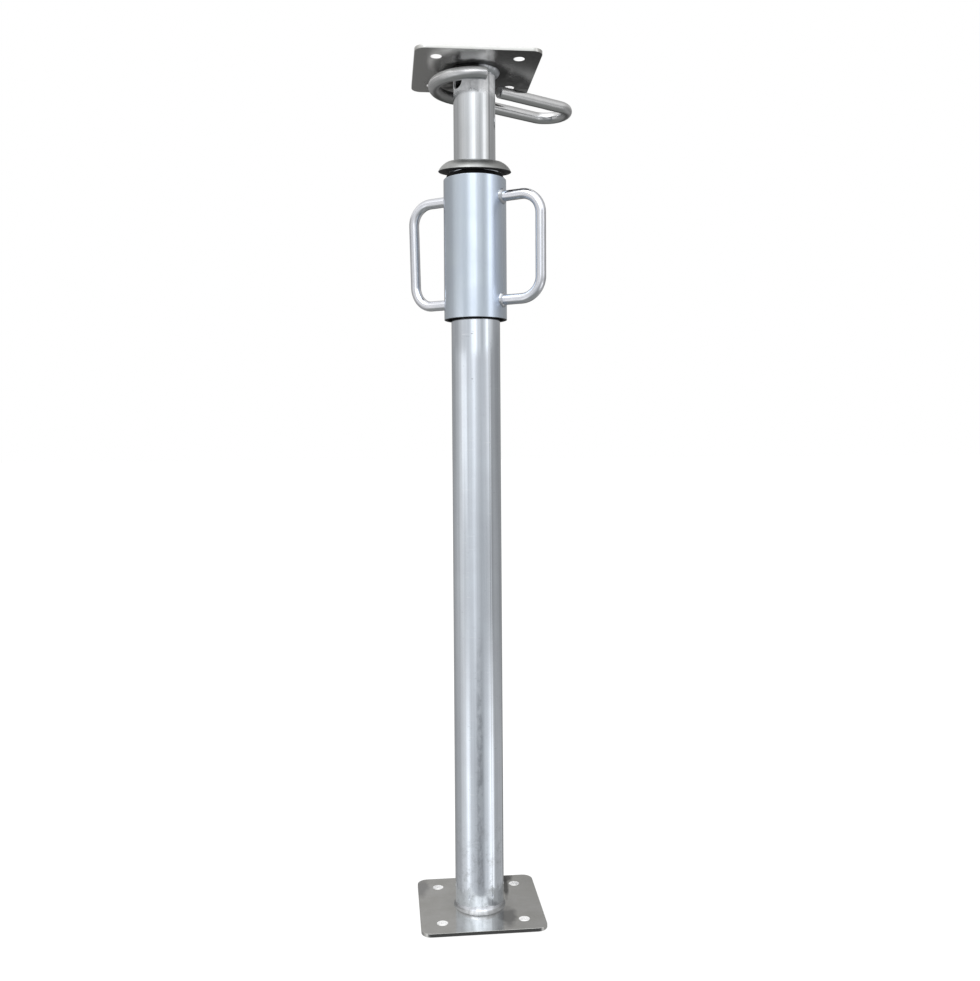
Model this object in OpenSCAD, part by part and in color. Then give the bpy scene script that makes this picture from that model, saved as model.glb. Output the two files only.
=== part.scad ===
// Adjustable steel prop with a covered thread, two D handles and a captive G pin.
// Millimetres, +Z up. The origin is the centre of the base plate's underside.
// The prop is drawn fully closed, with its nut fully up and its pin drawn out.

/* [Plates] */
// Side of the square base and head plates
plate_w = 140; // [120:1:180]
// Thickness of both plates
plate_t = 4; // [3:0.5:8]
// Radius of the plates' corners
plate_corner_r = 12; // [4:1:20]
// Distance between bolt holes along each side
bolt_pitch = 92; // [84:1:100]
// Diameter of the bolt holes
bolt_d = 12; // [8:0.5:16]

/* [Outer tube] */
// Outside diameter of the outer tube
outer_od = 56; // [54:0.5:58]
// Wall of the outer tube
outer_wall = 2.5; // [1.8:0.1:2.5]
// Length of the outer tube
outer_len = 846; // [600:1:1200]
// Length of each pin slot in the outer tube's top
slot_len = 110; // [60:1:140]
// Solid web of tube left above the slots
slot_web = 17; // [8:1:30]
// Side clearance of the pin in the slots
slot_clear = 1; // [0.5:0.1:2]

/* [Inner tube] */
// Outside diameter of the inner tube
inner_od = 48; // [44:0.5:48.5]
// Wall of the inner tube
inner_wall = 2.5; // [2:0.1:4]
// Height of the head plate above the outer tube with the prop closed
hand_gap = 113; // [100:1:250]
// Height of the spread guide at the inner tube's foot
foot_h = 18; // [8:1:40]
// Radial gap between the spread foot and the outer tube's bore
foot_clear = 0.5; // [0.4:0.1:0.8]
// Distance from the head plate down to the first pin hole's centre
hole_drop = 15; // [15:1:24]
// Distance from one pin hole to the next
hole_pitch = 100; // [60:1:150]
// Least distance from the inner tube's foot up to the last pin hole
hole_foot_min = 200; // [60:10:300]
// Radial clearance of the pin in its holes
pin_clear = 0.75; // [0.5:0.05:1.5]

/* [Sleeve nut] */
// Outside diameter of the sleeve
sleeve_od = 72; // [70:0.5:78]
// Wall of the sleeve
sleeve_wall = 3.5; // [2:0.1:4]
// Length of the sleeve
sleeve_len = 160; // [130:1:200]
// Height of the threaded nut in the sleeve's top
nut_h = 25; // [15:1:40]
// Height of the nut's collar above the sleeve's end
collar_h = 5; // [4:0.5:8]
// Radial gap between the nut's bore and the outer tube
thread_clear = 0.4; // [0.3:0.05:0.8]
// How far the outer tube stands above the collar with the nut fully up
tube_stand = 5; // [0:0.5:8]

/* [Handles] */
// Diameter of the handles' round bar
handle_d = 12; // [8:0.5:14]
// Reach from the sleeve's face to the middle of the grip
handle_reach = 48; // [42:1:70]
// Bend radius at the middle of the bar
handle_bend_r = 24; // [12:1:32]
// Distance from each end of the sleeve to a handle leg
handle_inset = 20; // [16:1:30]
// Direction of the handles about the tube
handle_yaw = -35; // [-80:5:0]

/* [Thrust ring] */
// Outside diameter of the thrust ring
ring_od = 84; // [78:0.5:100]
// Height of the domed thrust ring
ring_h = 11; // [7:0.5:13]
// Least radial gap between the leaning ring and the outer tube
ring_clear = 0.5; // [0.4:0.1:1]
// Lean of the loose ring on the collar
ring_lean = 7; // [0:0.5:8]

/* [G pin] */
// Diameter of the pin's round bar
pin_d = 14; // [12:0.5:15]
// Free length of the shank up to the bend
shank_len = 92; // [80:1:140]
// Gap from the inner tube to the drawn-out shank's tip
tip_gap = 11; // [4:0.5:20]
// Gap from the inner tube to the inside of the curl
curl_gap = 15; // [12:0.5:24]
// Sideways offset of the curl's centre from the shank's line
curl_side = 3; // [0:0.5:6]
// Offset of the curl's centre along the shank's line
curl_shift = 2; // [-4:0.5:6]
// Angle of bar in the curl
curl_angle = 162; // [120:1:180]
// Direction of the pin, its holes and its slots about the tube
pin_yaw = 30; // [0:5:60]

/* [Welds] */
// Leg of the weld round the outer tube's foot
base_weld_leg = 3.5; // [3:0.5:8]
// Leg of the weld round the inner tube's top
head_weld_leg = 5.5; // [3:0.5:6]
// Leg of the weld round the nut's collar
nut_weld_leg = 2.5; // [1.5:0.5:3]
// Leg of the welds round the handles' feet
handle_weld_leg = 3; // [2:0.5:5]

/* [Hidden] */
$fn = 96;
// Overshoot of cutting bodies
cut = 1;
// Gap kept between the leaning ring and the collar's edge
seat_gap = 0.1;
// Steps in a weld bead's curved face
bead_steps = 6;
// How far a bead's face stands out from a straight chamfer, as a share of its leg
bead_bulge = 0.12;
// Height of a handle weld's blunt toe
toe_h = 0.4;
// Bevel at the cut ends of round bars
bar_bevel = 1;

outer_r = outer_od / 2;
outer_bore_r = outer_r - outer_wall;
outer_top = plate_t + outer_len;
slot_w = pin_d + 2 * slot_clear;
slot_top = outer_top - slot_web;

inner_r = inner_od / 2;
inner_bore_r = inner_r - inner_wall;
foot_r = outer_bore_r - foot_clear;
inner_len = outer_len + hand_gap;
head_z = plate_t + inner_len;
hole_z = head_z - hole_drop;
hole_d = pin_d + 2 * pin_clear;
hole_count = 1 + floor((inner_len - hole_drop - hole_foot_min) / hole_pitch);

sleeve_r = sleeve_od / 2;
sleeve_bore_r = sleeve_r - sleeve_wall;
collar_top = outer_top - tube_stand;
sleeve_top = collar_top - collar_h;
sleeve_z = sleeve_top - sleeve_len;
nut_bore_r = outer_r + thread_clear;

handle_r = handle_d / 2;
grip_r = sleeve_r + handle_reach;
leg_top_z = sleeve_top - handle_inset;
leg_low_z = sleeve_z + handle_inset;

ring_bore_r = (outer_r + ring_clear + ring_h * sin(ring_lean)) / cos(ring_lean);
ring_z = collar_top + seat_gap + sleeve_bore_r * tan(ring_lean);
// The dome is part of a torus whose tube centre lies below the ring's bore edge
dome_w = ring_od / 2 - ring_bore_r;
dome_drop = max(0, (dome_w * dome_w - ring_h * ring_h) / (2 * ring_h));
dome_r = ring_h + dome_drop;

pin_r = pin_d / 2;
curl_r = inner_r + curl_gap + pin_r;
tip_x = inner_r + tip_gap;
bend_x = tip_x + shank_len;
leg_y = curl_r + curl_side;

// Square plate outline with round corners and four bolt holes
module plate_outline() {
    c = plate_w / 2 - plate_corner_r;
    difference() {
        union() {
            square([plate_w, 2 * c], center = true);
            square([2 * c, plate_w], center = true);
            for (x = [-c, c], y = [-c, c]) {
                translate([x, y]) circle(r = plate_corner_r);
            }
        }
        for (x = [-1, 1], y = [-1, 1]) {
            translate([x, y] * bolt_pitch / 2) circle(d = bolt_d);
        }
    }
}

// Face of a fillet weld round a bar of radius r, from its outer toe up to the bar
function bead_face(r, leg) = [for (i = [0 : bead_steps])
    let (t = i / bead_steps, out = bead_bulge * leg * sin(180 * t))
    [r + leg * (1 - t) + out, leg * t + out]];

// Fillet weld ring standing on z = 0 round a tube of radius r
module bead(r, leg) {
    rotate_extrude() polygon(concat([[r, 0]], bead_face(r, leg)));
}

// Plain tube from z = 0
module pipe(r, bore_r, h) {
    difference() {
        cylinder(r = r, h = h);
        translate([0, 0, -cut]) cylinder(r = bore_r, h = h + 2 * cut);
    }
}

// Round bar along +X with a bevelled end at x = 0
module bevelled_bar(r, h) {
    rotate([0, 90, 0]) {
        cylinder(r1 = r - bar_bevel, r2 = r, h = bar_bevel);
        translate([0, 0, bar_bevel]) cylinder(r = r, h = h - bar_bevel);
    }
}

// Round bar bent in the XY plane about the origin, from angle a over sweep
module bent_bar(bar_r, bend_r, a, sweep) {
    rotate([0, 0, a]) rotate_extrude(angle = sweep) translate([bend_r, 0]) circle(r = bar_r);
}

module base_plate() {
    color("gray") linear_extrude(plate_t) plate_outline();
}

module base_weld() {
    color("darkgray") translate([0, 0, plate_t]) bead(outer_r, base_weld_leg);
}

module outer_tube() {
    color("silver") difference() {
        translate([0, 0, plate_t]) pipe(outer_r, outer_bore_r, outer_len);
        rotate([0, 0, pin_yaw]) pin_slots();
    }
}

// Straight slot with round ends, cut through both walls along X
module pin_slots() {
    low = slot_top - slot_len + slot_w / 2;
    high = slot_top - slot_w / 2;
    reach = 2 * (outer_r + cut);
    for (z = [low, high]) {
        translate([0, 0, z]) rotate([0, 90, 0]) cylinder(d = slot_w, h = reach, center = true);
    }
    translate([0, 0, (low + high) / 2]) cube([reach, slot_w, high - low], center = true);
}

module inner_tube() {
    color("silver") difference() {
        translate([0, 0, plate_t]) union() {
            cylinder(r = foot_r, h = foot_h / 2);
            translate([0, 0, foot_h / 2]) cylinder(r1 = foot_r, r2 = inner_r, h = foot_h / 2);
            translate([0, 0, foot_h]) cylinder(r = inner_r, h = inner_len - foot_h);
        }
        translate([0, 0, plate_t - cut]) cylinder(r = inner_bore_r, h = inner_len + 2 * cut);
        for (i = [0 : hole_count - 1]) {
            translate([0, 0, hole_z - i * hole_pitch]) rotate([0, 90, pin_yaw])
                cylinder(d = hole_d, h = 2 * (inner_r + cut), center = true);
        }
    }
}

module head_plate() {
    color("gray") translate([0, 0, head_z]) linear_extrude(plate_t) plate_outline();
}

module head_weld() {
    color("darkgray") translate([0, 0, head_z]) mirror([0, 0, 1]) bead(inner_r, head_weld_leg);
}

// The shank lies along the pin's own X axis, in line with the top hole
module g_pin() {
    color("darkgray") translate([0, 0, hole_z]) rotate([0, 0, pin_yaw]) {
        translate([tip_x, 0, 0]) bevelled_bar(pin_r, shank_len);
        translate([bend_x, leg_y / 2, 0]) bent_bar(pin_r, leg_y / 2, -90, 180);
        translate([curl_shift, leg_y, 0]) rotate([0, 90, 0])
            cylinder(r = pin_r, h = bend_x - curl_shift);
        translate([curl_shift, curl_side, 0]) bent_bar(pin_r, curl_r, 90, curl_angle);
    }
}

// Loose domed ring: it leans, with the front of its flat face on the collar's edge
module thrust_ring() {
    color("dimgray") translate([0, 0, ring_z]) rotate([ring_lean, 0, 0]) difference() {
        intersection() {
            rotate_extrude() translate([ring_bore_r, -dome_drop]) circle(r = dome_r);
            cylinder(d = ring_od + 2 * cut, h = dome_r);
        }
        translate([0, 0, -cut]) cylinder(r = ring_bore_r, h = dome_r + 2 * cut);
    }
}

module sleeve() {
    color("lightsteelblue") translate([0, 0, sleeve_z]) pipe(sleeve_r, sleeve_bore_r, sleeve_len);
}

module nut_ring() {
    color("gray") translate([0, 0, collar_top - nut_h]) pipe(sleeve_bore_r, nut_bore_r, nut_h);
}

module nut_weld() {
    color("darkgray") translate([0, 0, sleeve_top]) bead(sleeve_bore_r, nut_weld_leg);
}

// One D handle in the XZ plane on the +X side, fitted to the sleeve's face
module handle() {
    leg = grip_r - handle_bend_r;
    grip_h = leg_top_z - leg_low_z - 2 * handle_bend_r;
    color("lavender") difference() {
        union() {
            for (z = [leg_low_z, leg_top_z]) {
                translate([0, 0, z]) rotate([0, 90, 0]) cylinder(r = handle_r, h = leg);
            }
            translate([leg, 0, leg_low_z + handle_bend_r]) rotate([90, 0, 0])
                bent_bar(handle_r, handle_bend_r, -90, 90);
            translate([leg, 0, leg_top_z - handle_bend_r]) rotate([90, 0, 0])
                bent_bar(handle_r, handle_bend_r, 0, 90);
            translate([grip_r, 0, leg_low_z + handle_bend_r]) cylinder(r = handle_r, h = grip_h);
        }
        translate([0, 0, sleeve_z]) cylinder(r = sleeve_r, h = sleeve_len);
    }
}

// Weld round one handle foot at height z, on the +X side, fitted to the sleeve's face
module handle_weld(z) {
    toe_r = handle_r + handle_weld_leg;
    root = sleeve_r - sqrt(pow(sleeve_r, 2) - pow(toe_r, 2)) + cut;
    face = [for (p = bead_face(handle_r, handle_weld_leg)) p + [0, root + toe_h]];
    color("darkgray") difference() {
        translate([sleeve_r - root, 0, z]) rotate([0, 90, 0])
            rotate_extrude() polygon(concat([[handle_r, 0], [toe_r, 0]], face));
        translate([0, 0, sleeve_z]) cylinder(r = sleeve_r, h = sleeve_len);
    }
}

module right_side() {
    rotate([0, 0, handle_yaw]) children();
}

module left_side() {
    rotate([0, 0, handle_yaw + 180]) children();
}

base_plate();
base_weld();
outer_tube();
inner_tube();
head_plate();
head_weld();
g_pin();
thrust_ring();
sleeve();
nut_ring();
nut_weld();
right_side() handle();  // handle_right
left_side() handle();  // handle_left
right_side() handle_weld(leg_top_z);  // weld_right_top
right_side() handle_weld(leg_low_z);  // weld_right_low
left_side() handle_weld(leg_top_z);  // weld_left_top
left_side() handle_weld(leg_low_z);  // weld_left_low
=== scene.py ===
"""Looks of an adjustable steel prop, dressed round its packed construction model."""

import math

import bmesh
import bpy
from mathutils import Matrix, Vector, noise


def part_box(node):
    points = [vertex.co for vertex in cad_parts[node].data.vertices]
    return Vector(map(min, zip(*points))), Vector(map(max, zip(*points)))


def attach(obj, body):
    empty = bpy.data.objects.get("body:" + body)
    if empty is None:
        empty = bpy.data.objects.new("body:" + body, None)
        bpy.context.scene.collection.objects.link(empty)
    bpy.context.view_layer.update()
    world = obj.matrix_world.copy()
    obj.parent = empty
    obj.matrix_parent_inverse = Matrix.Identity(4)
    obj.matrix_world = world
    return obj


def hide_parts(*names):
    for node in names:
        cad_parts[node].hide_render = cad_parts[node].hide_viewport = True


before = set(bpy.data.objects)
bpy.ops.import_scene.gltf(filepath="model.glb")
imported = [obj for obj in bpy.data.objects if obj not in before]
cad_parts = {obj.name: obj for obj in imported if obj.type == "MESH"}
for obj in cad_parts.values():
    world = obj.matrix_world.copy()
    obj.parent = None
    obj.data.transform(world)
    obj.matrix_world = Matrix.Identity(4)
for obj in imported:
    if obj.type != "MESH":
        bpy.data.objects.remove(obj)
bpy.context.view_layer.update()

TAU = 2 * math.pi
MM = 0.001

# Sizes of the construction, in metres
PLATE_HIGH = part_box("base_plate")[1]
HEAD_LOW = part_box("head_plate")[0]
SLEEVE_LOW, SLEEVE_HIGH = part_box("sleeve")
TUBE_LOW, TUBE_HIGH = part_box("outer_tube")
NUT_LOW, NUT_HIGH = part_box("nut_ring")
OUTER_R, OUTER_BORE = 28 * MM, 25.5 * MM
INNER_R, INNER_BORE, FOOT_R, FOOT_H = 24 * MM, 21.5 * MM, 25 * MM, 18 * MM
SLEEVE_R, SLEEVE_BORE = 36 * MM, 32.5 * MM
NUT_BORE = 28.4 * MM
SLOT_W, SLOT_LEN, SLOT_WEB = 16 * MM, 110 * MM, 17 * MM
HOLE_R, HOLE_DROP, HOLE_PITCH, HOLES = 7.75 * MM, 15 * MM, 100 * MM, 8
BOLT_R, BOLT_HALF = 6 * MM, 46 * MM
PITCH = 8 * MM
HANDLE_R, HANDLE_REACH, HANDLE_BEND, HANDLE_INSET = 6 * MM, 48 * MM, 24 * MM, 20 * MM
HANDLE_YAW, PIN_YAW = math.radians(-35), math.radians(30)
PIN_R, PIN_TIP, SHANK, LEG_Y = 7 * MM, 35 * MM, 92 * MM, 49 * MM
CURL_X, CURL_R, CURL_TURN = 2 * MM, 46 * MM, 162
RING_LEAN, RING_R, RING_H = math.radians(7), 42 * MM, 11 * MM
BASE_WELD, HEAD_WELD, NUT_WELD, HANDLE_WELD = 3.5 * MM, 5.5 * MM, 2.5 * MM, 3 * MM
# Depths of the rolled thread and of the nut's thread
OUTER_THREAD, NUT_THREAD = 1.15 * MM, 0.9 * MM
THREAD_LOW = SLEEVE_LOW.z + 3 * MM
THREAD_RUN_IN = 8 * MM
# How uneven the bent bars are, as a share of their radius
BAR_WOBBLE = 0.012
# Half the lengths of the cutters that go through the tubes
OUTER_CUT, INNER_CUT = 40 * MM, 30 * MM
# Direction of the prop's front, about its axis
FACING = math.radians(-95.5)


# ---------------------------------------------------------------- geometry


def clamped(value):
    return min(1.0, max(0.0, value))


def make(name, verts, faces, smooth_deg=40):
    """A mesh object with smooth faces and sharp edges above an angle."""
    mesh = bpy.data.meshes.new(name)
    mesh.from_pydata([tuple(v) for v in verts], [], faces)
    mesh.validate()
    obj = bpy.data.objects.new(name, mesh)
    bpy.context.scene.collection.objects.link(obj)
    shade(obj, smooth_deg)
    return obj


def shade(obj, smooth_deg=40):
    """Smooth faces, with sharp edges above an angle."""
    mesh = obj.data
    mesh.polygons.foreach_set("use_smooth", [True] * len(mesh.polygons))
    mesh.set_sharp_from_angle(angle=math.radians(smooth_deg))
    mesh.update()


def apply_modifiers(obj):
    """Replaces obj's mesh by its evaluated one."""
    graph = bpy.context.evaluated_depsgraph_get()
    mesh = bpy.data.meshes.new_from_object(obj.evaluated_get(graph))
    obj.modifiers.clear()
    old = obj.data
    obj.data = mesh
    bpy.data.meshes.remove(old)
    return obj


def weighted(obj):
    """Lets the large faces set the normals, so that rounded edges don't shade them."""
    mod = obj.modifiers.new("normals", "WEIGHTED_NORMAL")
    mod.weight = 90
    mod.keep_sharp = True
    return apply_modifiers(obj)


def lathe(name, profile, segments=128, place=None, smooth_deg=40):
    """Revolves a closed (radius, height) profile, outer side going up, about Z.
    place(angle, radius, height) may give the point itself."""
    place = place or (lambda a, r, z: Vector((r * math.cos(a), r * math.sin(a), z)))
    count = len(profile)
    verts = [
        place(TAU * i / segments, r, z) for i in range(segments) for r, z in profile
    ]
    faces = []
    for i in range(segments):
        k = (i + 1) % segments
        for j in range(count):
            m = (j + 1) % count
            faces.append((i * count + j, k * count + j, k * count + m, i * count + m))
    return make(name, verts, faces, smooth_deg)


def rounded(points, radius, steps=3):
    """A closed profile with its corners rounded. radius is one number or one for each point."""
    out = []
    n = len(points)
    for i, p in enumerate(points):
        r = radius[i] if isinstance(radius, (list, tuple)) else radius
        p = Vector(p)
        if r <= 0:
            out.append(tuple(p))
            continue
        a, b = Vector(points[i - 1]) - p, Vector(points[(i + 1) % n]) - p
        r = min(r, a.length * 0.45, b.length * 0.45)
        a, b = p + a.normalized() * r, p + b.normalized() * r
        for s in range(steps + 1):
            t = s / steps
            out.append(tuple(a * (1 - t) ** 2 + p * 2 * t * (1 - t) + b * t * t))
    return out


def boolean_cut(obj, cutter):
    """Takes cutter out of obj, and removes it."""
    mod = obj.modifiers.new("cut", "BOOLEAN")
    mod.operation = "DIFFERENCE"
    mod.solver = "EXACT"
    mod.object = cutter
    apply_modifiers(obj)
    bpy.data.objects.remove(cutter)
    return obj


def bevel(obj, width, segments=3, angle=35):
    """Rounds the edges that turn by more than angle degrees."""
    mod = obj.modifiers.new("bevel", "BEVEL")
    mod.width = width
    mod.segments = segments
    mod.limit_method = "ANGLE"
    mod.angle_limit = math.radians(angle)
    return apply_modifiers(obj)


def prism(outline, low, high, matrix):
    """A closed solid from an (a, b) outline in the YZ plane, from low to high along X."""
    n = len(outline)
    verts = [matrix @ Vector((x, a, b)) for x in (low, high) for a, b in outline]
    faces = [tuple(reversed(range(n))), tuple(range(n, 2 * n))]
    faces += [(i, (i + 1) % n, n + (i + 1) % n, n + i) for i in range(n)]
    return make("cutter", verts, faces)


def turtle(start, heading, moves, step_deg=3, step=3 * MM):
    """Points and directions along a path in a plane.
    A move is ("line", length) or ("arc", radius, degrees to the left)."""
    x, y = start
    a = math.radians(heading)
    out = [(x, y, a)]
    for move in moves:
        if move[0] == "line":
            n = max(1, round(move[1] / step))
            for i in range(n):
                x += math.cos(a) * move[1] / n
                y += math.sin(a) * move[1] / n
                out.append((x, y, a))
        else:
            radius, degrees = move[1:]
            n = max(2, round(degrees / step_deg))
            cx, cy = x - radius * math.sin(a), y + radius * math.cos(a)
            for i in range(n):
                a += math.radians(degrees) / n
                x, y = cx + radius * math.sin(a), cy - radius * math.cos(a)
                out.append((x, y, a))
    return out


def warped(path, move):
    """A path with its points moved by move(x, y), keeping the directions at its two ends."""
    points = [move(x, y) for x, y, _ in path]
    out = [(*points[0], path[0][2])]
    for i in range(1, len(path) - 1):
        (x0, y0), (x1, y1) = points[i - 1], points[i + 1]
        out.append((*points[i], math.atan2(y1 - y0, x1 - x0)))
    return out + [(*points[-1], path[-1][2])]


def bar(name, path, radius, matrix, round_end=0.0, segments=40, wobble=0.0):
    """A round bar swept along a flat path in the XY plane of matrix.
    wobble makes it slightly uneven, as bent bar is."""
    stations = []
    length = 0.0
    previous = path[0]
    for p in path:
        length += math.hypot(p[0] - previous[0], p[1] - previous[1])
        previous = p
        stations.append((p[0], p[1], p[2], radius, length))
    if round_end:
        stations = end_round(stations, round_end)
    verts = []
    for x, y, a, r, s in stations:
        for k in range(segments):
            b = TAU * k / segments
            spot = Vector((s * 90, math.cos(b) * 1.3, math.sin(b) * 1.3))
            w = 1 - wobble + wobble * noise.noise(spot)
            side, up = math.cos(b) * r * w, math.sin(b) * r * w
            # the bar's left is (-sin a, cos a) in the plane
            verts.append(matrix @ Vector((x - side * math.sin(a), y + side * math.cos(a), up)))
    n = len(stations)
    faces = [tuple(range(segments))]
    for i in range(n - 1):
        for k in range(segments):
            m = (k + 1) % segments
            faces.append(
                (i * segments + m, i * segments + k, (i + 1) * segments + k, (i + 1) * segments + m)
            )
    faces.append(tuple(reversed(range((n - 1) * segments, n * segments))))
    return make(name, verts, faces, 50)


def end_round(stations, r_end, steps=4):
    """Adds stations that round a bar's two ends."""

    def cap(p, q):
        x, y, a, r = p[:4]
        d = Vector((q[0] - x, q[1] - y)).normalized()
        out = []
        for i in range(steps + 1):
            t = math.radians(90 * i / steps)
            inward, shrink = r_end * (1 - math.sin(t)), r_end * (1 - math.cos(t))
            out.append((x + d.x * inward, y + d.y * inward, a, r - shrink, inward))
        return out

    total = stations[-1][4]
    head = [(x, y, a, r, s) for x, y, a, r, s in reversed(cap(stations[0], stations[1]))]
    tail = [(x, y, a, r, total - s) for x, y, a, r, s in cap(stations[-1], stations[-2])]
    body = [p for p in stations if r_end + 1e-5 < p[4] < total - r_end - 1e-5]
    return head + body + tail


def fillet(r, leg, bulge=0.12, steps=7, root=1 * MM):
    """A closed profile of a fillet weld round a bar of radius r that stands on height 0."""
    out = [(r - root, -root), (r + leg * 0.9, -root)]
    for i in range(steps + 1):
        t = i / steps
        o = bulge * leg * math.sin(math.pi * t)
        out.append((r + leg * (1 - t) + o, leg * t + o))
    out.append((r - root, leg * 0.9))
    return out


def bead(name, r, leg, centre, down, seed, bulge=0.12, ripple=0.5, lumps=0.16, swell=None):
    """A lumpy, rippled fillet weld ring round the Z axis. swell(angle) gives its growth out and up."""
    sign = -1 if down else 1
    off = Vector((seed * 3.1, seed * 1.7, 0))
    waves = round(TAU * r / (2.3 * MM))

    def place(a, rr, z):
        # the drawing goes round the other way when the bead hangs, so that its faces point out
        aa = a * sign
        here = Vector((math.cos(a), math.sin(a), 0)) * 2.2 + off
        lump = noise.noise(here) * lumps + noise.noise(here * 3.1) * lumps * 0.5
        grow = max(0.0, rr - r) / leg
        up = max(0.0, z) / leg
        wave = ripple * 0.045 * math.sin(a * waves + 2.5 * noise.noise(here * 2))
        k = 1 + lump + wave * (4 * grow * up + 0.3)
        wide, tall = swell(aa) if swell else (1, 1)
        rr2 = r + (rr - r) * k * wide if rr > r else rr
        z2 = z * k * tall if z > 0 else z
        return Vector((rr2 * math.cos(aa), rr2 * math.sin(aa), centre + sign * z2))

    return lathe(name, fillet(r, leg, bulge), 256, place, 60)


# ---------------------------------------------------------------- materials


class Graph:
    """A small helper to write node trees."""

    def __init__(self, tree):
        self.tree = tree
        tree.nodes.clear()

    def node(self, kind, inputs=None, **settings):
        n = self.tree.nodes.new(kind)
        for key, value in settings.items():
            setattr(n, key, value)
        for key, value in (inputs or {}).items():
            if isinstance(value, bpy.types.NodeSocket):
                self.tree.links.new(value, n.inputs[key])
            else:
                n.inputs[key].default_value = value
        return n

    def math(self, operation, a, b=0.0, clamp=False):
        return self.node("ShaderNodeMath", {0: a, 1: b}, operation=operation, use_clamp=clamp).outputs[0]

    def dot(self, a, b):
        return self.node("ShaderNodeVectorMath", {0: a, 1: b}, operation="DOT_PRODUCT").outputs["Value"]

    def noise(self, vector, scale, detail=2.0, rough=0.5):
        return self.node(
            "ShaderNodeTexNoise", {"Vector": vector, "Scale": scale, "Detail": detail, "Roughness": rough}
        ).outputs["Fac"]

    def span(self, value, low, high, out_low=0.0, out_high=1.0):
        """value from low to high becomes out_low to out_high, held at the ends."""
        return self.node(
            "ShaderNodeMapRange",
            {"Value": value, "From Min": low, "From Max": high, "To Min": out_low, "To Max": out_high},
        ).outputs["Result"]

    def near(self, value, centre, half, soft):
        """1 within half of centre, falling to 0 over soft."""
        off = self.math("ABSOLUTE", self.math("SUBTRACT", value, centre))
        return self.span(off, half + soft, half)

    def times(self, *values):
        out = values[0]
        for value in values[1:]:
            out = self.math("MULTIPLY", out, value)
        return out

    def mix(self, fac, a, b, how="MIX"):
        n = self.node("ShaderNodeMix", data_type="RGBA", blend_type=how)
        for key, value in ((0, fac), (6, a), (7, b)):
            if isinstance(value, bpy.types.NodeSocket):
                self.tree.links.new(value, n.inputs[key])
            else:
                n.inputs[key].default_value = value if key == 0 else (*value, 1)
        return n.outputs[2]

    def blend(self, fac, a, b):
        return self.node("ShaderNodeMix", {0: fac, 2: a, 3: b}).outputs[0]

    def shaders(self, fac, a, b):
        """Shader node a where fac is 0, and b where it is 1."""
        return self.node("ShaderNodeMixShader", {0: fac, 1: a.outputs[0], 2: b.outputs[0]})

    def length(self, a, b):
        """Length of the flat vector (a, b)."""
        return self.math("SQRT", self.math("ADD", self.times(a, a), self.times(b, b)))

    def scaled(self, vector, scale, location=(0, 0, 0)):
        return self.node(
            "ShaderNodeMapping", {"Vector": vector, "Scale": scale, "Location": location}
        ).outputs[0]

    def axes(self, vector):
        return self.node("ShaderNodeSeparateXYZ", {0: vector}).outputs

    def joined(self, x, y, z):
        return self.node("ShaderNodeCombineXYZ", {0: x, 1: y, 2: z}).outputs[0]


class Surface:
    """A metal surface's colour, roughness, height and metalness, built up in layers."""

    def __init__(self, g, seed):
        self.g = g
        place = g.node("ShaderNodeTexCoord").outputs
        self.where, self.facing = place["Object"], place["Normal"]
        self.x, self.y, self.z = g.axes(self.where)
        self.moved = g.scaled(self.where, (1, 1, 1), (seed, seed * 0.7, seed * 1.3))
        self.metal = 1.0

    def turn(self):
        """Angle round the prop from its front, in radians, right positive."""
        front = (math.cos(FACING), math.sin(FACING), 0)
        side = (-math.sin(FACING), math.cos(FACING), 0)
        return self.g.math("ARCTAN2", self.g.dot(self.where, side), self.g.dot(self.where, front))

    def layer(self, mask, tone=None, gloss=None, metal=None):
        if tone is not None:
            self.tone = self.g.mix(mask, self.tone, tone)
        if gloss is not None:
            self.gloss = self.g.blend(mask, self.gloss, gloss)
        if metal is not None:
            self.metal = self.g.blend(mask, self.metal, metal)


def metal(
    name, colour, tint, shadow, rough, seed, lines=0.2, blotch=0.8, bump=0.15, streak_axis="none", wear=None
):
    """Zinc plated steel: two tints in soft blotches, fine lines, small dark specks and uneven gloss.
    wear(graph, surface) may add layers."""
    mat = bpy.data.materials.new(name)
    mat.use_nodes = True
    g = Graph(mat.node_tree)
    s = Surface(g, seed)
    stretch = {"z": (1, 1, 0.012), "x": (0.03, 1, 1), "none": (1, 1, 1)}[streak_axis]
    drawn = g.scaled(s.moved, stretch)
    fine, wide = g.noise(drawn, 1400, 3, 0.6), g.noise(drawn, 260, 2, 0.5)
    cloud, grain = g.noise(s.moved, 38, 4, 0.55), g.noise(s.moved, 900, 2, 0.6)
    s.tone = g.mix(g.span(cloud, 0.35, 0.65), colour, tint)
    s.gloss = g.math("ADD", rough, g.span(cloud, 0.3, 0.7, -0.03 * blotch, 0.05 * blotch))
    s.layer(g.times(g.span(wide, 0.42, 0.7), 0.35 * lines), shadow)
    specks = g.span(g.noise(s.moved, 420, 2, 0.7), 0.68, 0.78)
    s.layer(g.times(specks, 0.4 * blotch), tuple(c * 0.45 for c in shadow))
    s.gloss = g.math("ADD", s.gloss, g.span(fine, 0.3, 0.7, -0.02 * lines, 0.03 * lines))
    height = g.math("ADD", g.times(fine, 0.5 * lines), g.times(grain, 0.5))
    height = g.math("ADD", height, g.times(wide, 0.9 * lines))
    s.height = g.math("ADD", height, g.times(cloud, 1.2 * blotch))
    if wear:
        wear(g, s)
    normal = g.node("ShaderNodeBump", {"Height": s.height, "Strength": bump, "Distance": 0.0002}).outputs[0]
    shader = g.node(
        "ShaderNodeBsdfPrincipled",
        {"Base Color": s.tone, "Metallic": s.metal, "Roughness": s.gloss, "Normal": normal},
    )
    g.node("ShaderNodeOutputMaterial", {"Surface": shader.outputs[0]})
    return mat


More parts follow.
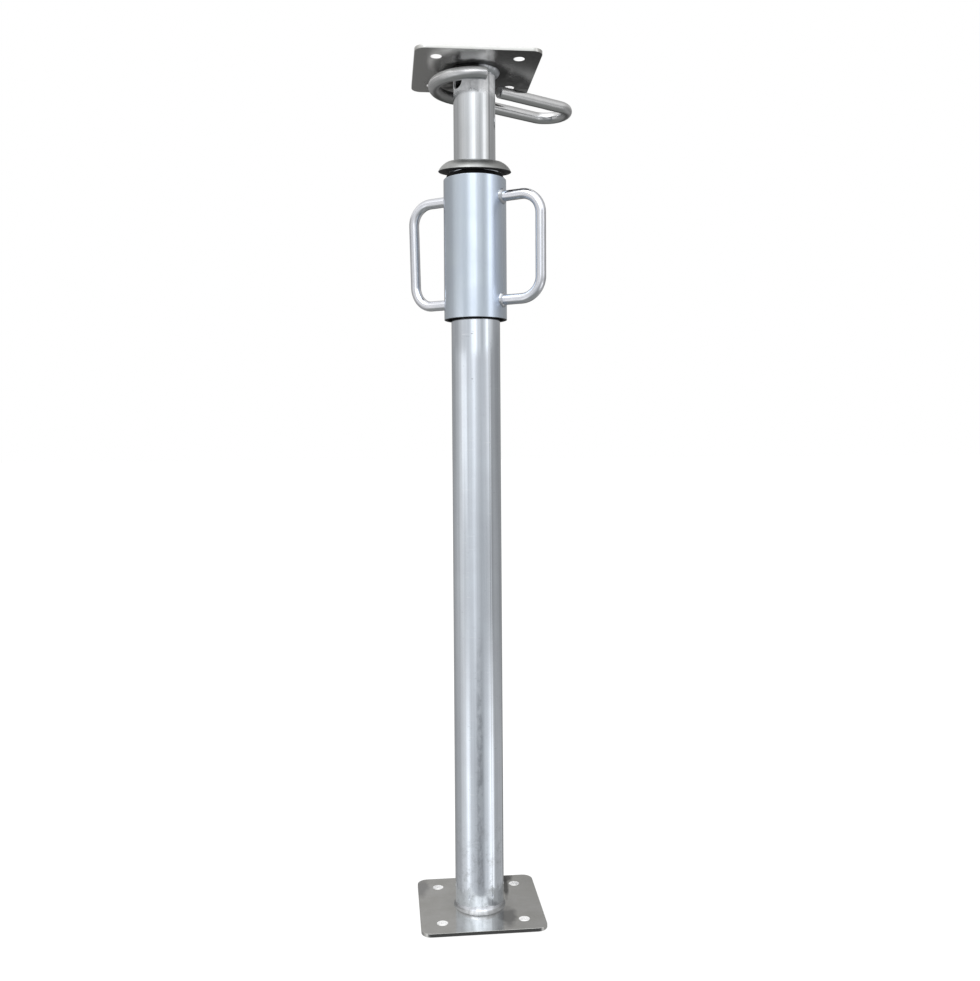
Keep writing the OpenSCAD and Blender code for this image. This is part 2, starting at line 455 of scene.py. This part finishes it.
def give(obj, mat):
    obj.data.materials.clear()
    obj.data.materials.append(mat)


# Near black tones of painted shade: the first in the sleeve's bore, on its lower rim and under the ring,
# the second under the head plate and on the head weld
SHADE_BLACK = (0.012, 0.012, 0.013)
SHADE_DARK = (0.03, 0.03, 0.03)


def tube_wear(g, s):
    """The tube's seam, rubbed marks under the sleeve and old smudges near the foot."""
    turn = s.turn()
    flat = g.joined(g.times(turn, OUTER_R), 0.0, s.z)
    s.layer(g.times(g.near(turn, math.radians(32), 0.012, 0.02), 0.55), (0.3, 0.32, 0.35))
    # short dark dashes across, and pale ones
    dashes = g.span(g.noise(g.scaled(flat, (1, 1, 3.2)), 150, 2, 0.6), 0.66, 0.72)
    under_sleeve = g.near(s.z, SLEEVE_LOW.z - 40 * MM, 30 * MM, 30 * MM)
    upper = g.times(under_sleeve, g.near(turn, math.radians(-24), 0.25, 0.2))
    s.layer(g.times(dashes, g.math("MAXIMUM", upper, 0.25), 0.85), (0.16, 0.16, 0.17), 0.4)
    pale = g.span(g.noise(g.scaled(flat, (0.25, 1, 5), (0.3, 0, 0.7)), 190, 1, 0.5), 0.7, 0.75)
    s.layer(g.times(pale, 0.5), (0.88, 0.9, 0.92), 0.3)
    # smudges
    low = g.times(g.near(s.z, 130 * MM, 90 * MM, 120 * MM), g.near(turn, math.radians(3), 0.07, 0.1))
    patch = g.span(g.noise(g.scaled(flat, (1, 1, 0.5)), 110, 4, 0.65), 0.42, 0.6)
    s.layer(g.times(low, patch, 0.55), (0.25, 0.27, 0.3), 0.3)
    foot = g.near(s.z, 30 * MM, 30 * MM, 60 * MM)
    sides = g.times(foot, g.span(g.noise(flat, 90, 4, 0.7), 0.5, 0.68))
    s.layer(g.times(sides, 0.5), (0.3, 0.31, 0.31), 0.35)


def inner_seam_and_light(g, s):
    """Painted light, pale and matte, on the front of the tube under the head plate, and the tube's seam."""
    turn = s.turn()
    # painted light: a pale, matte band on the front, under the head plate
    band = g.times(g.near(s.z, HEAD_LOW.z - 12 * MM, 11 * MM, 9 * MM), g.near(turn, 0, 1.2, 0.8))
    patchy = g.span(g.noise(s.moved, 230, 4, 0.65), 0.3, 0.6, 0.5, 0.95)
    s.layer(g.times(band, patchy), (0.95, 0.96, 0.98), 0.45, 0.15)
    s.layer(g.times(g.near(turn, math.radians(44), 0.03, 0.04), 0.6), (0.28, 0.29, 0.3))


def sleeve_tint_and_shade(g, s):
    """A lavender cast and duller zinc down one side, and painted shade: black in the bore and on the lower
    rim.
    """
    turn = s.turn()
    s.layer(g.times(g.near(turn, 0.68, 0.1, 0.25), 0.5), (0.59, 0.69, 0.86))
    # painted shade: the bore and the rim that faces down are black
    inside = g.span(g.length(s.x, s.y), SLEEVE_BORE + 1.4 * MM, SLEEVE_BORE + 0.6 * MM)
    rim = g.span(g.axes(s.facing)[2], -0.35, -0.7)
    s.layer(g.math("MAXIMUM", inside, rim), SHADE_BLACK, 0.5, 0.0)
    s.gloss = g.math("ADD", s.gloss, g.times(g.near(turn, 0.84, 0.2, 0.12), 0.14))


def ring_underside_shade(g, s):
    """Painted shade: the ring's underside is near black."""
    s.layer(g.span(g.axes(s.facing)[2], -0.25, -0.6), SHADE_BLACK, 0.75, 0.0)


# Stains and painted shade on the base plate: middle, half width and half depth in millimetres, and
# brightness. The first is a stain; the second, in front of the tube's right side, and the last two, a dark
# strip behind it, are painted shade.
PLATE_STAINS_AND_SHADE = (
    (-66, 44, 9, 26, 0.33), (29, -38, 11, 24, 0.2), (35, 42, 3.6, 34, 0.02), (38, 62, 8, 14, 0.05)
)


def blot(g, s, px, py, wide, long):
    """A soft, ragged patch round (px, py), in millimetres, slightly aslant."""
    slant = 0.08
    aslant = g.math("SUBTRACT", s.x, g.times(s.y, slant))
    off_x = g.math("DIVIDE", g.math("SUBTRACT", aslant, (px - slant * py) * MM), wide * MM)
    off_y = g.math("DIVIDE", g.math("SUBTRACT", s.y, py * MM), long * MM)
    off = g.math("ADD", g.length(off_x, off_y), g.span(g.noise(s.moved, 90, 3, 0.6), 0.3, 0.7, -0.2, 0.2))
    return g.span(off, 1.15, 0.55)


def plate_marks_and_shade(g, s):
    """Stains, and painted light and shade: bolt holes painted white, the base plate's sheared front edge
    painted dark, and the face below, duller, painted pale on the left, dark on the right and black round
    the weld and behind the tube.
    The base plate is told from the head plate by its height."""
    deep, up = g.axes(s.facing)[1:]
    radius = g.length(s.x, s.y)
    ragged = g.math("ADD", radius, g.span(g.noise(s.moved, 55, 4, 0.6), 0.3, 0.7, -5 * MM, 5 * MM))
    cloudy = g.span(g.noise(s.moved, 17, 3, 0.5), 0.55, 0.75)
    s.layer(g.times(cloudy, 0.4), (0.36, 0.36, 0.35), 0.18)
    base_only = g.span(s.z, 100 * MM, 90 * MM)
    # stains, and painted shade beside the tube's right side
    for px, py, wide, long, tone in PLATE_STAINS_AND_SHADE:
        s.layer(g.times(blot(g, s, px, py, wide, long), base_only, 0.8), (tone, tone, tone), 0.22)
    s.layer(g.times(g.span(ragged, 42 * MM, 30 * MM), 0.25), (0.36, 0.36, 0.36), 0.17)
    # painted shade: the base plate's front edge is dark
    upright, front = g.span(g.math("ABSOLUTE", up), 0.6, 0.3), g.span(deep, -0.85, -0.97)
    s.layer(g.times(upright, front, base_only, 0.9), (0.07, 0.07, 0.07), 0.35)
    # painted light and shade below: pale on the left, dark on the right
    below = g.span(up, -0.4, -0.8)
    split = g.span(g.math("ADD", s.x, g.math("SUBTRACT", ragged, radius)), 4 * MM, 22 * MM)
    s.layer(g.times(below, 0.85), g.mix(split, (0.8, 0.8, 0.79), (0.2, 0.2, 0.2)), 0.28)
    # painted shade: black round the weld and behind the tube on the face below
    s.layer(g.times(below, g.span(ragged, 44 * MM, 37 * MM), 0.9), SHADE_DARK, 0.35)
    s.layer(g.times(below, blot(g, s, 14, 42, 62, 42), 0.95), SHADE_DARK, 0.35)
    # painted light: the bolt holes' walls are white
    dx = g.math("SUBTRACT", g.math("ABSOLUTE", s.x), BOLT_HALF)
    dy = g.math("SUBTRACT", g.math("ABSOLUTE", s.y), BOLT_HALF)
    bores = g.span(g.length(dx, dy), BOLT_R + 0.25 * MM, BOLT_R + 0.1 * MM)
    s.layer(bores, (0.97, 0.97, 0.97), 0.5, 0.0)


def pin_light_and_shade(g, s):
    """Painted light and shade: a pale, matte top on the curl as a painted highlight, a duller, darker
    underside as painted shade, and painted shade on the curl's far side.
    """
    up = g.axes(s.facing)[2]
    curl = g.span(g.length(s.x, s.y), 56 * MM, 50 * MM)
    # painted highlight: the curl's top is pale
    s.layer(g.times(g.span(up, -0.1, 0.15), curl, 0.95), (0.98, 0.98, 0.99), 0.5)
    # painted shade: the faces below are darker
    s.layer(g.times(g.span(up, 0.1, -0.5), 0.65), (0.36, 0.37, 0.38), 0.32)
    # painted shade on the curl's far side
    far_side = g.times(g.span(s.y, 6 * MM, 20 * MM), g.span(s.x, 14 * MM, 4 * MM))
    s.layer(g.times(far_side, 0.7), (0.2, 0.2, 0.2), 0.45)


def head_weld_shade(g, s):
    """Painted shade on the head weld, dark as the plate's face round it is painted too, apart from one
    side.
    """
    s.layer(g.span(s.turn(), 0.45, 0.15), SHADE_DARK, 0.6)


def foot_weld_highlight(g, s):
    """Painted highlight: the foot weld's top, where it runs out on to the tube, is lighter."""
    s.layer(g.span(s.z, PLATE_HIGH.z + 2.4 * MM, PLATE_HIGH.z + 3.8 * MM), (0.62, 0.64, 0.68), 0.3)


TUBE_MAT = metal(
    "tube_zinc", (0.71, 0.76, 0.82), (0.68, 0.72, 0.78), (0.52, 0.56, 0.61), 0.09, 1.3,
    lines=1.2, blotch=0.4, streak_axis="z", wear=tube_wear,
)
INNER_MAT = metal(
    "inner_tube_zinc", (0.68, 0.7, 0.725), (0.63, 0.65, 0.67), (0.47, 0.48, 0.49), 0.11, 2.9,
    lines=1.0, blotch=0.5, streak_axis="z", wear=inner_seam_and_light,
)
SLEEVE_MAT = metal(
    "sleeve_zinc", (0.645, 0.72, 0.8), (0.605, 0.675, 0.765), (0.48, 0.52, 0.6), 0.16, 4.1,
    lines=0.5, streak_axis="z", wear=sleeve_tint_and_shade,
)
PLATE_MAT = metal(
    "plate_zinc", (0.55, 0.55, 0.54), (0.50, 0.50, 0.48), (0.42, 0.42, 0.41), 0.13, 5.7,
    lines=0.3, blotch=0.7, bump=0.08, streak_axis="x", wear=plate_marks_and_shade,
)
BAR_MAT = metal("bar_zinc", (0.72, 0.73, 0.77), (0.66, 0.68, 0.73), (0.5, 0.5, 0.55), 0.2, 6.2)
PIN_MAT = metal(
    "pin_zinc", (0.74, 0.74, 0.75), (0.66, 0.67, 0.68), (0.4, 0.4, 0.4), 0.2, 7.4, wear=pin_light_and_shade
)
RING_MAT = metal(
    "ring_zinc", (0.41, 0.42, 0.415), (0.27, 0.275, 0.27), (0.12, 0.12, 0.12), 0.36, 8.8,
    blotch=1.0, wear=ring_underside_shade,
)
WELD_TONES = (0.52, 0.54, 0.57), (0.44, 0.46, 0.49), (0.34, 0.35, 0.37)
WELD_MAT = metal("weld_zinc", *WELD_TONES, 0.38, 9.9, bump=0.2)
HEAD_WELD_MAT = metal("head_weld_zinc", *WELD_TONES, 0.38, 9.9, bump=0.2, wear=head_weld_shade)
FOOT_WELD_MAT = metal(
    "foot_weld_zinc", (0.42, 0.43, 0.44), (0.36, 0.37, 0.38), (0.24, 0.24, 0.24), 0.4, 9.9,
    bump=0.25, wear=foot_weld_highlight,
)
# Greased steel for the nut and its weld, darkened further as painted shade under the ring
GREASED_SHADE_MAT = metal(
    "greased_shaded_steel", (0.09, 0.09, 0.09), (0.05, 0.05, 0.05), (0.03, 0.03, 0.03), 0.6, 3.3, bump=0.25
)


# ---------------------------------------------------------------- pieces


def finish_piece(obj, body, slot, mat, *nodes):
    """Gives obj its material and the body that carries it, and hides the solids that it stands for. slot is
    not used.
    """
    give(obj, mat)
    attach(obj, body)
    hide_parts(*nodes)


# End plates: copies of the plates with their edges broken
for node, body in (("base_plate", "outer"), ("head_plate", "inner")):
    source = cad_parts[node]
    mesh = source.data.copy()
    plate = bpy.data.objects.new(node + "_dressed", mesh)
    bpy.context.scene.collection.objects.link(plate)
    bm = bmesh.new()
    bm.from_mesh(mesh)
    bmesh.ops.remove_doubles(bm, verts=bm.verts, dist=1e-6)
    bmesh.ops.dissolve_limit(bm, angle_limit=math.radians(1), verts=bm.verts, edges=bm.edges)
    bm.to_mesh(mesh)
    bm.free()
    if mesh.has_custom_normals:
        mesh.attributes.remove(mesh.attributes["custom_normal"])
    bevel(plate, 0.3 * MM, 3)
    shade(plate, 50)
    weighted(plate)
    finish_piece(plate, body, "plate_zinc", PLATE_MAT, node)


def thread_cut(a, z, depth):
    """How deep the right-hand thread cuts at angle a and height z."""
    phase = (z - THREAD_LOW) / PITCH - a / TAU
    wave = 0.5 - 0.5 * math.cos(TAU * phase)
    wave = wave * wave * (3 - 2 * wave)
    return depth * wave


# Outer tube with its rolled thread and two slots
low, high = TUBE_LOW.z, TUBE_HIGH.z
edge, inner_edge, thread_row = 0.4 * MM, 0.3 * MM, 0.8 * MM
rows = [low + edge] + [low + (THREAD_LOW - low) * i / 12 for i in range(1, 12)]
z = THREAD_LOW
while z < high - 0.9 * MM:
    rows.append(z)
    z += thread_row
rows.append(high - edge)
profile = [(OUTER_R - edge, low)] + [(OUTER_R, z) for z in rows] + [(OUTER_R - edge, high)]
profile += [(OUTER_BORE + inner_edge, high), (OUTER_BORE, high - inner_edge), (OUTER_BORE, low)]


def tube_place(a, r, z):
    if r > OUTER_R - 0.5 * MM and z > THREAD_LOW:
        r -= thread_cut(a, z, OUTER_THREAD) * clamped((z - THREAD_LOW) / THREAD_RUN_IN)
    return Vector((r * math.cos(a), r * math.sin(a), z))


outer_tube = lathe("outer_tube_dressed", profile, 128, tube_place, 35)
slot_r = SLOT_W / 2
slot_high = high - SLOT_WEB - slot_r
slot_low = high - SLOT_WEB - SLOT_LEN + slot_r
# both points at 180 degrees belong to the low end, so that side of the slot leans by 0.1 mm
stadium = []
for degrees in (*range(0, 181, 9), *range(180, 361, 9)):
    a = math.radians(degrees)
    middle = slot_high if degrees < 180 else slot_low
    stadium.append((slot_r * math.cos(a), middle + slot_r * math.sin(a)))
boolean_cut(outer_tube, prism(stadium, -OUTER_CUT, OUTER_CUT, Matrix.Rotation(PIN_YAW, 4, "Z")))
shade(outer_tube, 35)
finish_piece(outer_tube, "outer", "tube_zinc", TUBE_MAT, "outer_tube")

# Inner tube with its spread foot and pin holes
foot, top, edge = PLATE_HIGH.z, HEAD_LOW.z, 0.5 * MM
# the rows 0.3, 0.5 and 0.6 m up only split the long faces
profile = [
    (FOOT_R - edge, foot), (FOOT_R, foot + edge), (FOOT_R, foot + FOOT_H / 2),
    (INNER_R, foot + FOOT_H), (INNER_R, foot + 0.3), (INNER_R, foot + 0.6), (INNER_R, top),
    (INNER_BORE, top), (INNER_BORE, foot + 0.5), (INNER_BORE, foot + edge), (INNER_BORE + edge, foot),
]
inner_tube = lathe("inner_tube_dressed", profile, smooth_deg=35)
for i in range(HOLES):
    z = top - HOLE_DROP - i * HOLE_PITCH
    circle = [(HOLE_R * math.cos(TAU * k / 48), z + HOLE_R * math.sin(TAU * k / 48)) for k in range(48)]
    boolean_cut(inner_tube, prism(circle, -INNER_CUT, INNER_CUT, Matrix.Rotation(PIN_YAW, 4, "Z")))
bevel(inner_tube, 0.4 * MM, 2, 45)
shade(inner_tube, 35)
weighted(inner_tube)
finish_piece(inner_tube, "inner", "tube_zinc", INNER_MAT, "inner_tube")

# Sleeve, with its edges broken
profile = rounded(
    [
        (SLEEVE_R, SLEEVE_LOW.z), (SLEEVE_R, SLEEVE_HIGH.z),
        (SLEEVE_BORE, SLEEVE_HIGH.z), (SLEEVE_BORE, SLEEVE_LOW.z),
    ],
    [0.4 * MM, 0.8 * MM, 0.2 * MM, 0.5 * MM],
)
sleeve = weighted(lathe("sleeve_dressed", profile, 160, smooth_deg=50))
finish_piece(sleeve, "nut", "sleeve_zinc", SLEEVE_MAT, "sleeve")

# Threaded nut
low, high = NUT_LOW.z, NUT_HIGH.z
edge, lead_in, thread_rows = 0.6 * MM, 0.5 * MM, 48
profile = [(SLEEVE_BORE, low), (SLEEVE_BORE, high - edge), (SLEEVE_BORE - edge, high)]
profile.append((NUT_BORE + lead_in, high))
for i in range(thread_rows + 1):
    profile.append((NUT_BORE, high - lead_in - (high - low - lead_in) * i / thread_rows))


def nut_place(a, r, z):
    if r < NUT_BORE + 0.1 * MM:
        r += NUT_THREAD - thread_cut(a, z, NUT_THREAD)
    return Vector((r * math.cos(a), r * math.sin(a), z))


nut = lathe("nut_ring_dressed", profile, 128, nut_place, 45)
finish_piece(nut, "nut", "ring_zinc", GREASED_SHADE_MAT, "nut_ring")

# Thrust ring: a domed ring that leans on the collar
bore = (OUTER_R + 0.5 * MM + RING_H * math.sin(RING_LEAN)) / math.cos(RING_LEAN)
profile = [(RING_R - 1.3 * MM, 0.0), (RING_R - 0.45 * MM, 0.15 * MM)]
# its crown is a curve from start to end, drawn towards over
start = Vector((RING_R - 0.1 * MM, 0.7 * MM))
over = Vector((38.8 * MM, 7.3 * MM))
end = Vector((bore + 2.3 * MM, RING_H - 0.5 * MM))
crown_rows = 16
for i in range(crown_rows + 1):
    t = i / crown_rows
    profile.append(tuple(start * (1 - t) ** 2 + over * (2 * t * (1 - t)) + end * t * t))
# the rounded edge round the bore: millimetres out from the bore and down from the top
for out, down in ((1.7, 0.12), (1.1, 0), (0.45, 0.12), (0.12, 0.45), (0, 0.9)):
    profile.append((bore + out * MM, RING_H - down * MM))
profile += [(bore, 0.5 * MM), (bore + 0.4 * MM, 0)]
ring_z = NUT_HIGH.z + 0.1 * MM + SLEEVE_BORE * math.tan(RING_LEAN)
tilt = Matrix.Translation((0, 0, ring_z)) @ Matrix.Rotation(RING_LEAN, 4, "X")


def ring_place(a, r, z):
    return tilt @ Vector((r * math.cos(a), r * math.sin(a), z))


ring = lathe("thrust_ring_dressed", profile, 160, ring_place, 50)
finish_piece(ring, "ring", "ring_zinc", RING_MAT, "thrust_ring")

# G pin
pin_at = Matrix.Translation((0, 0, HEAD_LOW.z - HOLE_DROP)) @ Matrix.Rotation(PIN_YAW, 4, "Z")
moves = [
    ("line", SHANK), ("arc", LEG_Y / 2, 180),
    ("line", PIN_TIP + SHANK - CURL_X), ("arc", CURL_R, CURL_TURN),
]
path = turtle((PIN_TIP, 0), 0, moves)
pin = bar("g_pin_dressed", path, PIN_R, pin_at, round_end=1.2 * MM, segments=48, wobble=BAR_WOBBLE)
finish_piece(pin, "pin", "pin_zinc", PIN_MAT, "g_pin")


# Handles and the welds at their feet
def dress_handle(side, yaw, lean, dip, rise):
    """A D handle and its two welds, on the side of the sleeve that yaw points to.
    It is bent by hand: its grip leans in by lean at its lower end, its top leg is dip lower and its
    lower leg is rise higher."""
    spin = Matrix.Rotation(yaw, 4, "Z")
    upright = Matrix(((1, 0, 0, 0), (0, 0, -1, 0), (0, 1, 0, 0), (0, 0, 0, 1)))
    leg_low, leg_top = SLEEVE_LOW.z + HANDLE_INSET, SLEEVE_HIGH.z - HANDLE_INSET
    inside = SLEEVE_R - 1.6 * MM
    leg = SLEEVE_R + HANDLE_REACH - HANDLE_BEND - inside

    def bent(x, y):
        up = (y - leg_low) / (leg_top - leg_low)
        out = clamped((x - SLEEVE_R) / HANDLE_REACH)
        return x - lean * out * out * (1 - up), y + rise - (rise + dip) * up

    moves = [
        ("line", leg), ("arc", HANDLE_BEND, 90), ("line", leg_top - leg_low - 2 * HANDLE_BEND),
        ("arc", HANDLE_BEND, 90), ("line", leg),
    ]
    path = warped(turtle((inside, leg_low), 0, moves), bent)
    name = "handle_" + side
    handle = bar(name + "_dressed", path, HANDLE_R, spin @ upright, segments=36, wobble=BAR_WOBBLE)
    finish_piece(handle, "nut", "bar_zinc", BAR_MAT, name)
    for level, height in (("top", leg_top), ("low", leg_low)):
        seed = height * 40 + yaw * 3
        dress_handle_weld("weld_" + side + "_" + level, spin, bent(SLEEVE_R, height)[1], seed)


def dress_handle_weld(name, spin, height, seed):
    """An uneven weld round a handle's foot, laid on the sleeve's round face."""

    def place(a, r, h):
        around = Vector((math.cos(a), math.sin(a), 0)) * 1.1 + Vector((seed, 0, 0))
        k = 0.9 + 0.5 * noise.noise(around) + 0.06 * math.sin(a * 9 + 3 * noise.noise(around * 2))
        rr = HANDLE_R + (r - HANDLE_R) * k if r > HANDLE_R else r
        hh = h * k if h > 0 else h
        y, z = rr * math.cos(a), rr * math.sin(a)
        return spin @ Vector((math.sqrt(SLEEVE_R**2 - y * y) + hh, y, height + z))

    weld = lathe(name + "_dressed", fillet(HANDLE_R, HANDLE_WELD), 64, place, 70)
    finish_piece(weld, "nut", "weld", WELD_MAT, name)


dress_handle("right", HANDLE_YAW, 0.3 * MM, 2.2 * MM, 0.8 * MM)
dress_handle("left", HANDLE_YAW + math.pi, 3.2 * MM, 0, 0)


# Weld rings
def front_heavy(a):
    """Growth of the foot weld out and up, at angle a: it is laid on thicker in front."""
    front = math.cos(a - FACING)
    return max(0.45, 0.6 + 0.7 * front * abs(front)), max(0.6, 1.05 + 0.95 * front)


def dress_weld_ring(node, body, mat, r, leg, centre, down, seed, bulge=0.12, ripple=0.5, swell=None):
    """A weld round the axis at height centre, on the tube of radius r, standing or hanging down."""
    weld = bead(node + "_dressed", r, leg, centre, down, seed, bulge, ripple, swell=swell)
    finish_piece(weld, body, "weld", mat, node)


dress_weld_ring(
    "base_weld", "outer", FOOT_WELD_MAT, OUTER_R, BASE_WELD, PLATE_HIGH.z, False, 1,
    bulge=-0.12, ripple=0.25, swell=front_heavy,
)
dress_weld_ring("head_weld", "inner", HEAD_WELD_MAT, INNER_R, HEAD_WELD, HEAD_LOW.z, True, 2)
dress_weld_ring("nut_weld", "nut", GREASED_SHADE_MAT, SLEEVE_BORE, NUT_WELD, SLEEVE_HIGH.z, False, 3)


# ---------------------------------------------------------------- camera, floor and light

YAW, PITCH_DOWN, ROLL = math.radians(6.0), math.radians(1.08), math.radians(-0.38)
ahead = Vector((math.sin(YAW), math.cos(YAW), 0))
camera_data = bpy.data.cameras.new("camera")
camera_data.sensor_width = 36
camera_data.lens = 37.34
camera_data.shift_y = -0.03
camera_data.clip_start = 0.01
camera_data.clip_end = 100
camera = bpy.data.objects.new("camera", camera_data)
camera.location = (-0.1075, -1.1698, 0.5399)
look = (ahead - Vector((0, 0, math.tan(PITCH_DOWN)))).to_track_quat("-Z", "Y").to_matrix().to_4x4()
camera.matrix_world = Matrix.Translation(camera.location) @ look @ Matrix.Rotation(ROLL, 4, "Z")
bpy.context.scene.collection.objects.link(camera)
bpy.context.scene.camera = camera
bpy.context.scene.view_settings.view_transform = "Standard"

# Pale floor: mostly its own white to the camera, so that only a soft shadow shows
floor_half, floor_z = 30, -0.0005
corners = [(x * floor_half, y * floor_half, floor_z) for x, y in ((-1, -1), (1, -1), (1, 1), (-1, 1))]
floor = make("floor", corners, [(0, 1, 2, 3)])
floor_mat = bpy.data.materials.new("floor")
floor_mat.use_nodes = True
g = Graph(floor_mat.node_tree)
rays = g.node("ShaderNodeLightPath").outputs
matte = g.node("ShaderNodeBsdfDiffuse", {"Color": (0.9, 0.9, 0.9, 1)})
glow = g.node("ShaderNodeEmission", {"Color": (1, 1, 1, 1), "Strength": 1.12})
both = g.shaders(g.times(rays["Is Camera Ray"], 0.8), matte, glow)
g.node("ShaderNodeOutputMaterial", {"Surface": both.outputs[0]})
give(floor, floor_mat)
floor.visible_glossy = False

world = bpy.data.worlds.new("studio")
bpy.context.scene.world = world
world.use_nodes = True
g = Graph(world.node_tree)
rays = g.node("ShaderNodeLightPath").outputs
direction = g.node("ShaderNodeTexCoord").outputs["Generated"]
right = Vector((math.cos(YAW), -math.sin(YAW), 0))
turned = g.math("ARCTAN2", g.dot(direction, tuple(right)), g.dot(direction, tuple(-ahead)))
turned = g.span(turned, -math.pi, math.pi)


def ring_light(*stops):
    """Brightness by direction: (degrees from the front, right positive; brightness)."""
    ramp = g.node("ShaderNodeValToRGB", {"Fac": turned})
    ramp.color_ramp.interpolation = "EASE"
    elements = ramp.color_ramp.elements
    while len(elements) < len(stops):
        elements.new(0.5)
    for element, (degrees, value) in zip(elements, stops):
        element.position = degrees / 360 + 0.5
        element.color = (value, value, value, 1)
    return ramp.outputs["Color"]


# Studio walls, windows and dark corners, in five rings for five heights of view
high_ring = ring_light(
    (-180, 0.34), (-110, 0.46), (-56, 0.8), (-34, 0.78), (-14, 1.4), (0, 1.54), (12, 0.92), (32, 0.64),
    (42, 0.82), (54, 1.5), (60, 1.46), (72, 0.86), (82, 0.74), (95, 0.42), (180, 0.38),
)
level_ring = ring_light(
    (-180, 0.33), (-130, 0.4), (-98, 0.6), (-78, 0.84), (-67, 1.2), (-48, 1.22), (-41, 0.8), (-30, 0.87),
    (-11, 1.22), (6, 0.82), (19, 0.65), (29, 0.75), (42, 0.72), (57, 0.98), (67, 1.05), (75, 0.47),
    (110, 0.35), (180, 0.33),
)
low_ring = ring_light(
    (-180, 0.2), (-150, 0.38), (-98, 0.58), (-79, 0.8), (-27, 0.78), (-14, 1.0), (0, 0.73), (18, 0.57),
    (48, 0.6), (66, 0.68), (77, 0.38), (89, 0.44), (150, 0.33), (180, 0.2),
)
ground_ring = ring_light(
    (-180, 0.12), (-156, 0.36), (-100, 0.48), (-81, 0.8), (-67, 0.85), (-51, 1.4), (-33, 0.78), (-14, 0.64),
    (-3, 0.5), (14, 0.46), (40, 0.8), (60, 1.45), (67, 1.5), (84, 0.5), (138, 0.5), (165, 0.1), (180, 0.08),
)
above_ring = ring_light(
    (-180, 0.58), (-138, 0.9), (-93, 1.03), (-36, 1.8), (-6, 2.45), (18, 2.45), (40, 1.75), (58, 1.45),
    (78, 0.82), (120, 0.55), (180, 0.5),
)
rise = g.axes(direction)[2]
seen = high_ring
# Each tone starts to show at one height of the view's direction and is full at the next
for begin, full, tone in (
    (0.122, 0.114, level_ring), (0.0, -0.1, low_ring), (-0.17, -0.3, ground_ring),
    (-0.5, -0.75, (0.33, 0.34, 0.33)), (0.335, 0.385, above_ring), (0.85, 0.97, (1.25, 1.25, 1.25)),
):
    seen = g.mix(g.span(rise, begin, full), seen, tone)
# The windows in front are a little cool and the walls at the sides a little warm
sideways = g.span(g.math("ABSOLUTE", g.math("SUBTRACT", turned, 0.5)), 0.1, 0.22)
tint = g.mix(sideways, (0.988, 1.0, 1.012), (1.008, 1.0, 0.99))
seen = g.mix(1.0, seen, tint, "MULTIPLY")
# The camera sees plain white; glossy rays see the studio round the prop; the rest is even light
flat = g.node("ShaderNodeBackground", {"Color": (1, 1, 1, 1), "Strength": 1.0})
studio = g.node("ShaderNodeBackground", {"Color": seen, "Strength": 1.0})
lit = g.shaders(rays["Is Glossy Ray"], flat, studio)
whole = g.shaders(g.math("MAXIMUM", rays["Is Camera Ray"], rays["Is Transmission Ray"]), lit, flat)
g.node("ShaderNodeOutputWorld", {"Surface": whole.outputs[0]})

# One large soft lamp above and in front, for the shadow on the floor
lamp_data = bpy.data.lights.new("key", "AREA")
lamp_data.shape = "DISK"
lamp_data.size = 1.6
lamp_data.energy = 12
lamp = bpy.data.objects.new("key", lamp_data)
lamp.location = (-0.9, -1.2, 2.4)
lamp.rotation_euler = (Vector((0, 0, 0.4)) - lamp.location).to_track_quat("-Z", "Y").to_euler()
bpy.context.scene.collection.objects.link(lamp)
